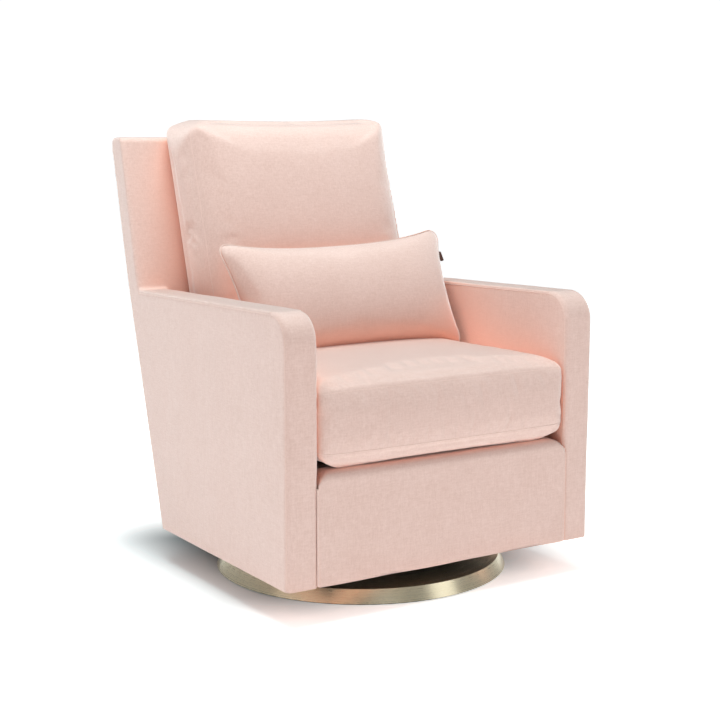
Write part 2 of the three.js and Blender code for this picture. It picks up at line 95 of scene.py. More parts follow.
CUTOUT_HALF_X = 0.208        # hole in the dust cloth where the mechanism swings
CUTOUT_HALF_Y = 0.178

VOXEL = 0.0050               # remesh size of the body's upholstery and of the platform
PANEL_VOXEL = 0.0045
CUSHION_VOXEL = 0.006
OVERRUN = 0.01               # how far crossed prisms run past each other
BELOW = UNDERSIDE_Z - 0.03   # the covers are made this low, then cut off level
SEAM_R = 0.0009              # radius of the folded edge along a seam
SEAM_DROP = 0.007            # the arm seams lie this far inside the arm's outline
CUSHION_PRESSURE = 4.0       # of the cloth simulation
CUSHION_CAP = 0.004          # the furthest a point of a cushion may move in it
PILLOW_CAP = 0.003
PAINTED_SHADE_REACH = 0.16            # the painted shade follows ambient occlusion found this far round the cloth

PAINTED_SHADOW_CENTRE = (0.0, 0.16, 0.0)       # where the shadow under the chair is painted on the floor
PAINTED_SHADOW_HALF = (0.25, 0.23, 0.0)
AIM = (0, 0, 0.4)                      # what most of the lights point at
SKY_LIGHT = 0.30
BACKDROP_LIGHT = 1.05                  # what the camera itself sees behind the floor
CAMERA_PLACE = (-1.7581, -2.6801, 0.9349)
CAMERA_PITCH = 90 - 8.61               # degrees, 90 looks level
CAMERA_YAW = -33.23
CAMERA_LENS = 74.91


def back_front_y(z):
    """Front face of the back at height z."""
    return BACK_LOW.y + BACK_SLOPE * (z - UNDERSIDE_Z)


def arm_top_z(y):
    return ARM_TOP_Z - ARM_FALL * (y - FRONT_Y)


def tapered(points):
    """Closes the plan in towards the rear, as the whole body does."""
    made = points.copy()
    made[:, 0] *= 1 - PLAN_TAPER * (points[:, 1] - FRONT_Y) / HALF
    return made


def narrowed(points):
    """Draws the back's sides in a little above the arms."""
    made = points.copy()
    rise = np.clip((points[:, 2] - ARM_TOP_Z) / (BACK_TOP_Z - ARM_TOP_Z), 0, 1)
    made[:, 0] *= 1 - BACK_NARROWING * rise
    return made


# ---------- mesh helpers ----------
def rounded(corners, steps=6):
    """An outline through (a, b, radius) corners, each rounded by an arc."""
    points = []
    for i, (a, b, radius) in enumerate(corners):
        here = Vector((a, b))
        back = (Vector(corners[i - 1][:2]) - here).normalized()
        on = (Vector(corners[(i + 1) % len(corners)][:2]) - here).normalized()
        if radius == 0:
            points.append((a, b))
            continue
        half = back.angle(on) / 2
        centre = here + (back + on).normalized() * radius / math.sin(half)
        start = here + back * radius / math.tan(half) - centre
        end = here + on * radius / math.tan(half) - centre
        turn = math.atan2(start.x * end.y - start.y * end.x, start.dot(end))
        for k in range(steps + 1):
            points.append(tuple(centre + Matrix.Rotation(turn * k / steps, 2) @ start))
    return points


def rectangle(a0, a1, b0, b1, low_r, high_r, steps=6):
    """A rounded rectangle, its lower and upper corners each with their own radius."""
    return rounded([(a0, b0, low_r), (a1, b0, low_r), (a1, b1, high_r), (a0, b1, high_r)], steps)


def prism(points, axis, low, high, edge_r=0.0):
    """A closed prism along an axis, its outline in the other two. edge_r rounds the rims of its ends."""
    place = {
        "x": lambda a, b, t: (t, a, b),
        "y": lambda a, b, t: (a, t, b),
        "z": lambda a, b, t: (a, b, t),
    }[axis]
    made = bmesh.new()
    ends = [[made.verts.new(place(a, b, t)) for a, b in points] for t in (low, high)]
    caps = [made.faces.new(end) for end in ends]
    for i in range(len(points)):
        j = (i + 1) % len(points)
        made.faces.new((ends[0][i], ends[0][j], ends[1][j], ends[1][i]))
    if edge_r:
        rims = list({edge for cap in caps for edge in cap.edges})
        bmesh.ops.bevel(made, geom=rims, offset=edge_r, segments=5, profile=0.5, affect="EDGES")
    bmesh.ops.recalc_face_normals(made, faces=made.faces)
    return made


def new_object(name, made):
    """A smooth-shaded object from a bmesh."""
    mesh = bpy.data.meshes.new(name)
    made.to_mesh(mesh)
    made.free()
    obj = bpy.data.objects.new(name, mesh)
    bpy.context.scene.collection.objects.link(obj)
    smooth(obj)
    return obj


def smooth(obj):
    obj.data.polygons.foreach_set("use_smooth", [True] * len(obj.data.polygons))
    obj.data.update()


def merged(*parts):
    """Several bmeshes in one, which may overlap until they are remeshed."""
    whole = bmesh.new()
    for part in parts:
        mesh = bpy.data.meshes.new("part")
        part.to_mesh(mesh)
        part.free()
        whole.from_mesh(mesh)
        bpy.data.meshes.remove(mesh)
    return whole


def baked(obj):
    """Makes the modifiers' result the object's own mesh."""
    graph = bpy.context.evaluated_depsgraph_get()
    made = bpy.data.meshes.new_from_object(obj.evaluated_get(graph))
    obj.modifiers.clear()
    old = obj.data
    obj.data = made
    bpy.data.meshes.remove(old)
    smooth(obj)
    return obj


def crossed(name, *prisms):
    """The space that all the prisms share."""
    first, *others = [new_object(f"{name}_{i}", made) for i, made in enumerate(prisms)]
    for other in others:
        cut = first.modifiers.new("cut", "BOOLEAN")
        cut.operation = "INTERSECT"
        cut.object = other
    baked(first)
    for other in others:
        bpy.data.objects.remove(other)
    first.name = name
    return first


def remeshed(obj, voxel, rounds):
    """Even small faces all over, relaxed so that slanted faces lie smooth."""
    remesh = obj.modifiers.new("remesh", "REMESH")
    remesh.mode = "VOXEL"
    remesh.voxel_size = voxel
    relax = obj.modifiers.new("relax", "SMOOTH")
    relax.factor = 0.5
    relax.iterations = rounds
    return baked(obj)


def points_of(obj):
    points = np.empty(len(obj.data.vertices) * 3, np.float32)
    obj.data.vertices.foreach_get("co", points)
    return points.reshape(-1, 3).astype(float)


def set_points(obj, points):
    obj.data.vertices.foreach_set("co", points.astype(np.float32).ravel())
    obj.data.update()


def normals_of(obj):
    normals = np.empty(len(obj.data.vertices) * 3, np.float32)
    obj.data.vertex_normals.foreach_get("vector", normals)
    return normals.reshape(-1, 3).astype(float)


def unevenness(points, wavelength, seed, waves=7):
    """A gentle, repeatable swell over space, between about -1 and 1."""
    draw = np.random.default_rng(seed)
    total = np.zeros(len(points))
    for _ in range(waves):
        direction = draw.normal(size=3)
        direction *= 2 * math.pi / wavelength / np.linalg.norm(direction)
        total += np.sin(points @ direction * draw.uniform(0.7, 1.4) + draw.uniform(0, 6.28))
    return total / math.sqrt(waves)


def softened(obj, height, wavelength, seed):
    """Moves the surface in and out a little, as padding does under cloth."""
    points = points_of(obj)
    lift = height * unevenness(points, wavelength, seed)
    set_points(obj, points + normals_of(obj) * lift[:, None])


def cut_off(obj, point, normal):
    """Removes what lies on the normal's side of a plane, and closes the cut."""
    made = bmesh.new()
    made.from_mesh(obj.data)
    everything = made.verts[:] + made.edges[:] + made.faces[:]
    bmesh.ops.bisect_plane(made, geom=everything, plane_co=point, plane_no=normal, clear_outer=True)
    rim = [edge for edge in made.edges if edge.is_boundary]
    for edge in rim:
        edge.smooth = False
    bmesh.ops.holes_fill(made, edges=rim)
    made.to_mesh(obj.data)
    made.free()
    obj.data.update()


def duplicate(obj, name):
    copy = bpy.data.objects.new(name, obj.data.copy())
    bpy.context.scene.collection.objects.link(copy)
    return copy


def evenly(path, step=0.006, closed=False):
    """The path again, with points a step apart."""
    path = np.array(path, float)
    if closed:
        path = np.vstack([path, path[:1]])
    along = np.concatenate([[0], np.cumsum(np.linalg.norm(np.diff(path, axis=0), axis=1))])
    at = np.linspace(0, along[-1], max(3, round(along[-1] / step) + 1))
    spaced = np.stack([np.interp(at, along, path[:, k]) for k in range(3)], axis=1)
    return spaced[:-1] if closed else spaced


def settled(path, target, offset):
    """The path laid on a surface, offset along its normals."""
    tree = BVHTree.FromObject(target, bpy.context.evaluated_depsgraph_get())
    laid = []
    for point in path:
        near, normal, _, _ = tree.find_nearest(Vector(point))
        laid.append(near + normal * offset)
    return np.array(laid)


def pressed(obj, path, width, depth):
    """Presses a soft groove of this half width into the surface along a path."""
    points = points_of(obj)
    nearest = np.full(len(points), 1.0)
    for start in range(0, len(path), 64):
        chunk = path[start:start + 64]
        low, high = chunk.min(0) - width, chunk.max(0) + width
        close = np.where(((points > low) & (points < high)).all(1))[0]
        if len(close):
            gaps = np.linalg.norm(points[close, None] - chunk[None], axis=2).min(1)
            nearest[close] = np.minimum(nearest[close], gaps)
    share = np.clip(1 - nearest / width, 0, 1)
    set_points(obj, points - normals_of(obj) * (depth * share * share * (3 - 2 * share))[:, None])


def tube(name, path, radius, closed=False, sides=6):
    """A thin tube along a path, as a mesh."""
    curve = bpy.data.curves.new(name, "CURVE")
    curve.dimensions = "3D"
    curve.bevel_depth = radius
    curve.bevel_resolution = max(0, sides // 2 - 2)
    curve.use_fill_caps = not closed
    spline = curve.splines.new("POLY")
    spline.points.add(len(path) - 1)
    for point, place in zip(spline.points, path):
        point.co = (*place, 1)
    spline.use_cyclic_u = closed
    source = bpy.data.objects.new(name, curve)
    bpy.context.scene.collection.objects.link(source)
    graph = bpy.context.evaluated_depsgraph_get()
    mesh = bpy.data.meshes.new_from_object(source.evaluated_get(graph))
    bpy.data.objects.remove(source)
    obj = bpy.data.objects.new(name, mesh)
    bpy.context.scene.collection.objects.link(obj)
    smooth(obj)
    return obj


# ---------- materials ----------
class Shader:
    """A node material, with short ways to add and join nodes."""

    def __init__(self, name):
        self.material = bpy.data.materials.new(name)
        self.material.use_nodes = True
        self.tree = self.material.node_tree
        self.tree.nodes.clear()
        self.object_space = self.add("ShaderNodeTexCoord").outputs["Object"]

    def add(self, kind, settings=None, **inputs):
        node = self.tree.nodes.new(kind)
        for key, value in (settings or {}).items():
            setattr(node, key, value)
        for key, value in inputs.items():
            socket = node.inputs[int(key[1:])] if key[0] == "_" else node.inputs[key.replace("_", " ")]
            self.feed(socket, value)
        return node

    def feed(self, socket, value):
        if isinstance(value, bpy.types.NodeSocket):
            self.tree.links.new(value, socket)
        else:
            socket.default_value = value

    def math(self, operation, a, b=0.0, clamp=False):
        settings = {"operation": operation, "use_clamp": clamp}
        return self.add("ShaderNodeMath", settings, _0=a, _1=b).outputs[0]

    def noise(self, scale, detail=3.0, rough=0.55, stretch=(1, 1, 1)):
        """Noise with its features shrunk along each axis by stretch."""
        placed = self.add("ShaderNodeMapping", Vector=self.object_space, Scale=stretch).outputs[0]
        return self.add("ShaderNodeTexNoise", Vector=placed, Scale=scale, Detail=detail,
                        Roughness=rough).outputs["Fac"]

    def ramp(self, value, low, high, out_low=0.0, out_high=1.0):
        return self.add("ShaderNodeMapRange", Value=value, From_Min=low, From_Max=high,
                        To_Min=out_low, To_Max=out_high).outputs[0]

    def blend(self, share, first, second):
        node = self.add("ShaderNodeMix", {"data_type": "RGBA"}, _0=share, _6=first, _7=second)
        return node.outputs[2]

    def bump(self, height, distance, strength=1.0, normal=None):
        node = self.add("ShaderNodeBump", Height=height, Distance=distance, Strength=strength)
        if normal:
            self.feed(node.inputs["Normal"], normal)
        return node.outputs[0]

    def surface(self, **inputs):
        principled = self.add("ShaderNodeBsdfPrincipled")
        for key, value in inputs.items():
            self.feed(principled.inputs[key.replace("_", " ")], value)
        output = self.add("ShaderNodeOutputMaterial")
        self.tree.links.new(principled.outputs[0], output.inputs["Surface"])
        return self.material


def colour(red, green, blue):
    """An sRGB colour, 0 to 255, as the linear one that shaders use."""
    linear = [((c / 255 + 0.055) / 1.055) ** 2.4 if c > 10 else c / 255 / 12.92
              for c in (red, green, blue)]
    return (*linear, 1.0)


def slubs(shader, fine, long):
    """Threads of uneven thickness, running along each of the three axes."""
    total = None
    for axis in range(3):
        stretch = [fine] * 3
        stretch[axis] = long
        strands = shader.noise(1.0, 2.5, 0.6, tuple(stretch))
        total = strands if total is None else shader.math("ADD", total, strands)
    return shader.math("DIVIDE", total, 3.0)


def threads(shader, pitch):
    """A plain weave: ridges at the thread pitch that cross on every face."""
    turn = 2 * math.pi / pitch
    split = shader.add("ShaderNodeSeparateXYZ", Vector=shader.object_space)
    waves = [shader.math("SINE", shader.math("MULTIPLY", split.outputs[k], turn)) for k in range(3)]
    pairs = [shader.math("MULTIPLY", waves[k], waves[(k + 1) % 3]) for k in range(3)]
    return shader.math("ADD", shader.math("ADD", pairs[0], pairs[1]), pairs[2])


def woven(name, dark, light, sheen=0.0, sheen_tint=(1, 1, 1, 1), rough=0.75, slub=(330.0, 60.0),
          pitch=0.0016, depth=0.00025, gloss=0.2, painted_shade=None):
    """A soft woven cloth: slubs and mottling in its colour, weave and fuzz in its surface.
    The optional last colour is painted shade: it is blended in where ambient occlusion finds the cloth
    enclosed, a warmer colour standing in for bounce light and shade in folds and gaps, and 0.6 of it in the
    tightest gaps."""
    shader = Shader(name)
    slub_noise = slubs(shader, *slub)
    mottle = shader.noise(14.0, 3.0, 0.5)
    fuzz = shader.noise(900.0, 2.0, 0.6)
    share = shader.ramp(slub_noise, 0.36, 0.64)
    share = shader.math("ADD", share, shader.ramp(mottle, 0.3, 0.7, -0.08, 0.08))
    share = shader.math("ADD", share, shader.ramp(fuzz, 0.3, 0.7, -0.10, 0.10), clamp=True)
    height = shader.math("ADD", shader.math("MULTIPLY", threads(shader, pitch), 0.22), fuzz)
    height = shader.math("ADD", height, shader.math("MULTIPLY", slub_noise, 1.5))
    base = shader.blend(share, dark, light)
    if painted_shade:
        # painted shade: occlusion blends a warmer colour into recesses and a darker one into the tightest
        # gaps
        gap = shader.add("ShaderNodeAmbientOcclusion", {"samples": 6}, Distance=PAINTED_SHADE_REACH).outputs["AO"]
        base = shader.blend(shader.ramp(gap, 0.15, 0.85), painted_shade, base)
        base = shader.blend(shader.ramp(gap, 0.0, 0.07), tuple(0.6 * part for part in painted_shade), base)
    return shader.surface(
        Base_Color=base,
        Roughness=shader.ramp(slub_noise, 0.35, 0.65, rough, rough - 0.12),
        Sheen_Weight=sheen, Sheen_Roughness=0.44, Sheen_Tint=sheen_tint, Specular_IOR_Level=gloss,
        Normal=shader.bump(height, depth, 0.7))


def metal(name, dark, light, rough, spin=False):
    """Brushed or plated metal. spin turns the brush marks round the Z axis, and shades the facets of
    a turned part as the round surface they stand for."""
    shader = Shader(name)
    turned, around = {}, {}
    if spin:
        split = shader.add("ShaderNodeSeparateXYZ", Vector=shader.object_space)
        flat = shader.add("ShaderNodeCombineXYZ", X=split.outputs[0], Y=split.outputs[1]).outputs[0]
        radius = shader.add("ShaderNodeVectorMath", {"operation": "LENGTH"}, _0=flat).outputs["Value"]
        outward = shader.add("ShaderNodeVectorMath", {"operation": "NORMALIZE"}, _0=flat).outputs[0]
        facet = shader.add("ShaderNodeNewGeometry").outputs["Normal"]
        tilt = shader.add("ShaderNodeVectorMath", {"operation": "DOT_PRODUCT"}, _0=facet,
                          _1=outward).outputs["Value"]
        level = shader.add("ShaderNodeVectorMath", {"operation": "SCALE"}, _0=outward,
                           Scale=tilt).outputs[0]
        height = shader.add("ShaderNodeSeparateXYZ", Vector=facet).outputs[2]
        upward = shader.add("ShaderNodeCombineXYZ", Z=height).outputs[0]
        turned["normal"] = shader.add("ShaderNodeVectorMath", {"operation": "ADD"}, _0=level,
                                      _1=upward).outputs[0]
        rings = shader.add("ShaderNodeCombineXYZ", X=radius, Y=0.0, Z=split.outputs[2]).outputs[0]
        brushed = shader.add("ShaderNodeTexNoise", Vector=rings, Scale=1400.0, Detail=2.0).outputs["Fac"]
        radial = {"direction_type": "RADIAL", "axis": "Z"}
        around["Tangent"] = shader.add("ShaderNodeTangent", radial).outputs[0]
    else:
        brushed = shader.noise(1.0, 2.0, 0.5, (900.0, 900.0, 120.0))
    patina = shader.noise(9.0, 4.0, 0.6)
    share = shader.math("ADD", shader.ramp(patina, 0.3, 0.7, 0.3, 0.7),
                        shader.ramp(brushed, 0.3, 0.7, -0.06, 0.06), clamp=True)
    return shader.surface(
        Base_Color=shader.blend(share, dark, light), Metallic=1.0, Anisotropic=0.7 if spin else 0.0,
        Anisotropic_Rotation=0.25, **around,
        Roughness=shader.ramp(brushed, 0.3, 0.7, rough - 0.02, rough + 0.03),
        Normal=shader.bump(brushed, 0.00001, 0.06, **turned))


def painted(name, dark, light, rough):
    """Powder coat or rubber: a fine pebbled skin, with duller patches."""
    shader = Shader(name)
    pebbles = shader.noise(1600.0, 2.0, 0.5)
    patches = shader.noise(18.0, 4.0, 0.6)
    return shader.surface(
        Base_Color=shader.blend(shader.ramp(patches, 0.3, 0.7), dark, light),
        Roughness=shader.ramp(patches, 0.3, 0.7, rough - 0.07, rough + 0.08),
        Normal=shader.bump(pebbles, 0.00012, 0.4))


def timber(name, dark, light, stretch):
    """Sawn wood: growth rings drawn out along the grain, with pores."""
    shader = Shader(name)
    rings = shader.noise(1.0, 4.0, 0.65, stretch)
    bands = shader.math("FRACT", shader.math("MULTIPLY", rings, 7.0))
    pores = shader.noise(1.0, 2.0, 0.5, tuple(9 * s for s in stretch))
    share = shader.math("ADD", shader.math("MULTIPLY", bands, 0.6),
                        shader.ramp(pores, 0.35, 0.65, -0.05, 0.4), clamp=True)
    return shader.surface(
        Base_Color=shader.blend(share, dark, light),
        Roughness=shader.ramp(pores, 0.3, 0.7, 0.75, 0.6),
        Normal=shader.bump(pores, 0.0002, 0.4))


# the blush cloth's last colour is painted shade for its folds and gaps
BLUSH = woven("blush_weave", colour(214, 178, 166), colour(228, 196, 186), sheen=1.0,
              sheen_tint=(1.0, 0.96, 0.94, 1), gloss=0.5, painted_shade=colour(250, 190, 168))
# seam cloth: the blush cloth made lighter, a painted highlight along seams and welts
BLUSH_SEAM_PAINTED_HIGHLIGHT = woven("blush_seam_painted_highlight", colour(222, 188, 176), colour(236, 206, 196), sheen=1.0,
                   sheen_tint=(1.0, 0.96, 0.94, 1), slub=(600.0, 200.0))
DECK_CLOTH = woven("deck_weave", colour(150, 140, 130), colour(196, 187, 176), pitch=0.0012)
DUST_CLOTH = woven("dust_weave", colour(58, 56, 55), colour(84, 81, 79), rough=0.85, pitch=0.0010)
GOLD = metal("champagne_metal", colour(214, 202, 168), colour(244, 236, 210), 0.28, spin=True)
BLACK_STEEL = painted("black_powder_coat", colour(16, 16, 18), colour(38, 38, 41), 0.45)
ZINC_STEEL = metal("zinc_plate", colour(150, 154, 158), colour(196, 200, 204), 0.34)
SPRING_STEEL = metal("spring_wire", colour(84, 84, 88), colour(120, 120, 124), 0.40)
RUBBER = painted("black_rubber", colour(12, 12, 12), colour(30, 30, 30), 0.75)
HARDWOOD = timber("hardwood_grain", colour(160, 116, 72), colour(206, 164, 116), (9.0, 90.0, 90.0))
PLYWOOD = timber("plywood_face", colour(186, 148, 104), colour(222, 192, 150), (90.0, 9.0, 60.0))
TAB_LEATHER = painted("brown_tab", colour(60, 34, 26), colour(86, 50, 38), 0.55)


def dress(obj, material):
    obj.data.materials.clear()
    obj.data.materials.append(material)
    return obj


# ---------- upholstered body ----------
def levelled(corners):
    """Profile corners (y, z, radius) sheared so that the falling arm top lies level."""
    return [(y, z + ARM_FALL * (y - FRONT_Y), radius) for y, z, radius in corners]


def trued(points):
    """Sets the arms' rounded front corners, which the remesh leaves faceted, back on their true arcs."""
    made = points.copy()
    y = points[:, 1] - (FRONT_Y + ARM_CORNER_R)
    z = points[:, 2] - (ARM_TOP_Z - ARM_CORNER_R)
    reach = np.hypot(y, z)
    across = np.abs(points[:, 0])
    from_side = np.minimum(HALF - across, across - HALF + ARM_THICK)
    inset = np.clip(ARM_EDGE_R - from_side, 0, ARM_EDGE_R)
    skin = ARM_CORNER_R - ARM_EDGE_R + np.sqrt(ARM_EDGE_R ** 2 - inset ** 2)
    corner = (y < 0) & (z > 0) & (reach > ARM_CORNER_R - ARM_EDGE_R - 0.001)
    scale = np.where(corner, skin / np.maximum(reach, 1e-9), 1)
    made[:, 1] += y * (scale - 1)
    made[:, 2] += z * (scale - 1)
    return made


def body_blank():
    """Arms and back as one relaxed skin, in their plan before the taper.
    The skin is remeshed with its arm tops level, which keeps them flat, and then sheared back."""
    arm_back_y = back_front_y(arm_top_z(0.25))
    behind = [(back_front_y(BELOW) + BACK_THICK, BELOW, 0), (BACK_HIGH.y, BACK_TOP_Z, BODY_EDGE_R),
              (BACK_HIGH.y - BACK_THICK, BACK_TOP_Z, BODY_EDGE_R)]
    gable = rounded(levelled([(FRONT_Y, BELOW, 0), *behind, (arm_back_y, arm_top_z(arm_back_y), 0.006),
                              (FRONT_Y, ARM_TOP_Z, ARM_CORNER_R)]), steps=20)
    slab = rounded(levelled([(back_front_y(BELOW), BELOW, 0), *behind]), steps=5)
    inner = HALF - ARM_THICK
    whole = merged(prism(gable, "x", inner, HALF, ARM_EDGE_R), prism(gable, "x", -HALF, -inner, ARM_EDGE_R),
                   prism(slab, "x", -HALF, HALF, BODY_EDGE_R))
    blank = remeshed(new_object("body_blank", whole), VOXEL, 5)
    points = trued(points_of(blank))
    points[:, 2] -= ARM_FALL * (points[:, 1] - FRONT_Y)
    set_points(blank, points)
    cut_off(blank, (0, 0, UNDERSIDE_Z), (0, 0, -1))
    return blank


def arm_seam_path(side, across, drop):
    """A line that runs forward under the arm's top edge and down behind its front edge."""
    radius = ARM_CORNER_R - drop
    centre_y, centre_z = FRONT_Y + ARM_CORNER_R, ARM_TOP_Z - ARM_CORNER_R
    rear_y = back_front_y(arm_top_z(0.25)) - 0.004
    line = [(rear_y, arm_top_z(rear_y) - drop), (centre_y, ARM_TOP_Z - drop)]
    for k in range(1, 12):
        angle = math.pi / 2 * (1 + k / 12)
        line.append((centre_y + radius * math.cos(angle), centre_z + radius * math.sin(angle)))
    line += [(FRONT_Y + drop, centre_z), (FRONT_Y + drop, UNDERSIDE_Z + 0.004)]
    return evenly([(side * across, y, z) for y, z in line])


def seam(name, path, target, body, width=0.006, depth=0.0009, closed=False, proud=-0.0002):
    """Presses a groove along the path and lays the seam's folded edge in it."""
    laid = settled(path, target, 0.0)
    pressed(target, laid, width, depth)
    laid = settled(path, target, proud)
    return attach(dress(tube(name, laid, SEAM_R, closed), BLUSH_SEAM_PAINTED_HIGHLIGHT), body)


def body_upholstery():
    blank = body_blank()
    set_points(blank, narrowed(tapered(points_of(blank))))
    softened(blank, 0.00025, 0.18, seed=3)
    foot = Vector((0, back_front_y(UNDERSIDE_Z), UNDERSIDE_Z))
    forward = Vector((0, -1, BACK_SLOPE)).normalized()
    back = duplicate(blank, "back_upholstery")
    cut_off(back, foot, forward)
    arms = {}
    for name, side in SIDES:
        arm = duplicate(blank, f"arm_upholstery_{name}")
        cut_off(arm, foot, -forward)
        cut_off(arm, (0, 0, 0), (-side, 0, 0))
        arms[name] = arm
    bpy.data.objects.remove(blank)
    for piece in (back, *arms.values()):
        smooth(piece)
        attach(dress(piece, BLUSH), "chair")
    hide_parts("back_cover")
    edge, top = HALF - 0.014, BACK_TOP_Z - 0.014
    corners = [(-edge, UNDERSIDE_Z + 0.006), (-edge, top), (edge, top), (edge, UNDERSIDE_Z + 0.006)]
    outline = evenly([(x, back_front_y(z) + BACK_THICK, z) for x, z in corners])
    seam("back_seam", narrowed(tapered(outline)), back, "chair")
    for name, side in SIDES:
        arm = arms[name]
        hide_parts(f"arm_cover_{name}")
        outer = tapered(arm_seam_path(side, HALF, SEAM_DROP))
        inner = tapered(arm_seam_path(side, HALF - ARM_THICK, SEAM_DROP))
        seam(f"arm_seam_outer_{name}", outer, arm, "chair")
        seam(f"arm_seam_inner_{name}", inner, arm, "chair")


def front_panel():
    """The padded panel between the arms; its top rolls back, its top corners are round, and its
    sides fill part of the arms' rounded edges."""
    half = HALF - ARM_THICK - 0.0008
    y0, y1, top = FRONT_Y, PANEL_HIGH.y, PANEL_TOP_Z
    across = prism(rectangle(-half, half, BELOW, top, 0, 0.032), "y", y0 - OVERRUN, y1 + OVERRUN)
    along = prism(rectangle(y0, y1, BELOW, top, 0, 0.018), "x", -half - OVERRUN, half + OVERRUN)
    plan = prism(rectangle(-half, half, y0, y1, 0.003, 0.004), "z", BELOW - OVERRUN, top + OVERRUN)
    panel = remeshed(crossed("front_upholstery", across, along, plan), PANEL_VOXEL, 3)
    cut_off(panel, (0, 0, UNDERSIDE_Z), (0, 0, -1))
    points = points_of(panel)
    inset = np.clip(ARM_EDGE_R - (points[:, 1] - y0), 0, ARM_EDGE_R)
    flare = ARM_EDGE_R - np.sqrt(ARM_EDGE_R ** 2 - inset ** 2)
    near_arm = np.clip((np.abs(points[:, 0]) - half + 0.03) / 0.03, 0, 1)
    points[:, 0] += np.sign(points[:, 0]) * 0.85 * flare * near_arm ** 2
    set_points(panel, tapered(points))
    softened(panel, 0.0005, 0.14, seed=8)
    smooth(panel)
    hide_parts("front_cover")
    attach(dress(panel, BLUSH), "chair")
    for name, side in SIDES:
        foot = (side * (HALF - ARM_THICK + 0.0015), y0 + 0.0018, UNDERSIDE_Z + 0.003)
        line = evenly([foot, (foot[0], foot[1], top - 0.030)])
        welt = dress(tube(f"front_welt_{name}", line, 0.0028), BLUSH_SEAM_PAINTED_HIGHLIGHT)
        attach(welt, "chair")


# ---------- loose cushions ----------
def inflated(obj, pressure, cap, pinned):
    """Blows a closed cover up with the Cloth solver, its seams held, each point moving at most cap."""
    start = points_of(obj)
    group = obj.vertex_groups.new(name="seams")
    for index in np.where(pinned > 0)[0]:
        group.add([int(index)], float(pinned[index]), "REPLACE")
    cloth = obj.modifiers.new("cloth", "CLOTH")
    settings = cloth.settings
    settings.quality = 4
    settings.mass = 0.3
    settings.tension_stiffness = settings.compression_stiffness = 12
    settings.bending_stiffness = 0.8
    settings.use_pressure = True
    settings.uniform_pressure_force = pressure
    settings.shrink_min = -0.01
    settings.effector_weights.gravity = 0
    settings.vertex_group_mass = "seams"
    cloth.collision_settings.use_collision = False
    for step in range(1, 21):
        bpy.context.scene.frame_set(step)
    graph = bpy.context.evaluated_depsgraph_get()
    blown = np.array([vertex.co for vertex in obj.evaluated_get(graph).data.vertices])
    obj.modifiers.clear()
    obj.vertex_groups.clear()
    bpy.context.scene.frame_set(1)
    shift = blown - start
    size = np.linalg.norm(shift, axis=1, keepdims=True)
    set_points(obj, start + shift * np.minimum(1, cap / np.maximum(size, 1e-9)))


def refined(obj):
    """One level of subdivision."""
    obj.modifiers.new("refine", "SUBSURF").levels = 1
    return baked(obj)


def seat_shape(points):
    """The seat's crown, bulging front and pinched lower corners, from its plain block."""
    made = points.copy()
    x, y, z = points.T
    low, high = SEAT_BOTTOM_Z, SEAT_EDGE_Z
    u = np.clip(np.abs(x) / SEAT_HALF, 0, 1)
    t = np.clip((y - SEAT_LOW.y) / (SEAT_HIGH.y - SEAT_LOW.y), 0, 1)
    share = np.clip((z - low) / (high - low), 0, 1)
    length = np.sin(math.pi * t ** 0.666) ** 0.5
    crown = SEAT_CROWN * (1 - u ** 3) ** 0.55 * length
    rear = 0.008 * t ** 2
    made[:, 2] += share ** 3 * (crown + rear)
    made[:, 2] += (1 - share) ** 2 * (-0.003 * (1 - u ** 4) * np.sin(math.pi * t) ** 0.3)
    made[:, 2] += 0.020 * (1 - share) ** 6 * u ** 12
    front = np.clip(1 - t / 0.05, 0, 1)
    made[:, 1] -= front * 0.006 * (1 - (2 * share - 1) ** 2) * (1 - u ** 4)
    return made


def seat_cushion():
    y0, y1 = SEAT_LOW.y + 0.002, SEAT_HIGH.y
    z0, z1 = SEAT_BOTTOM_Z, SEAT_EDGE_Z
    across = prism(rectangle(-SEAT_HALF, SEAT_HALF, z0, z1, 0.022, 0.020), "y", y0 - OVERRUN, y1 + OVERRUN)
    along = prism(rectangle(y0, y1, z0, z1, 0.015, 0.034), "x", -SEAT_HALF - OVERRUN, SEAT_HALF + OVERRUN)
    plan_line = rectangle(-SEAT_HALF, SEAT_HALF, y0, y1, SEAT_CORNER_R, SEAT_CORNER_R, steps=8)
    plan = prism(plan_line, "z", z0 - OVERRUN, z1 + OVERRUN)
    cushion = remeshed(crossed("seat_cushion_cover", across, along, plan), CUSHION_VOXEL, 3)
    start = points_of(cushion)
    near_seams = np.minimum(np.abs(start[:, 2] - SEAT_SEAM_Z), np.abs(start[:, 2] - SEAT_UPPER_SEAM_Z))
    edge = np.minimum(SEAT_HALF - np.abs(start[:, 0]), np.minimum(start[:, 1] - y0, y1 - start[:, 1]))
    pinned = np.clip(1.6 - near_seams / 0.004, 0, 1) * (edge < 0.012)
    set_points(cushion, seat_shape(start))
    inflated(cushion, CUSHION_PRESSURE, CUSHION_CAP, pinned)
    refined(cushion)
    points = points_of(cushion)
    between_arms = HALF - ARM_THICK - 0.0006     # so that its sides clear the arms when it is lifted
    points[:, 0] = np.clip(points[:, 0], -between_arms, between_arms)
    set_points(cushion, tapered(points))
    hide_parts("seat_cushion")
    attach(dress(cushion, BLUSH), "seat_cushion")
    for name, z, depth, proud in (("upper", SEAT_UPPER_SEAM_Z, 0.0003, -0.0006),
                                  ("lower", SEAT_SEAM_Z, 0.0006, -0.0002)):
        line = np.array([(x, y, z) for x, y in plan_line])
        line = tapered(evenly(seat_shape(line), closed=True))
        seam(f"seat_seam_{name}", line, cushion, "seat_cushion", depth=depth, closed=True, proud=proud)


def leaning(points):
    """Slants an upright cushion back, parallel to the back."""
    made = points.copy()
    made[:, 1] += BACK_SLOPE * (points[:, 2] - CUSHION_LOW.z)
    return made


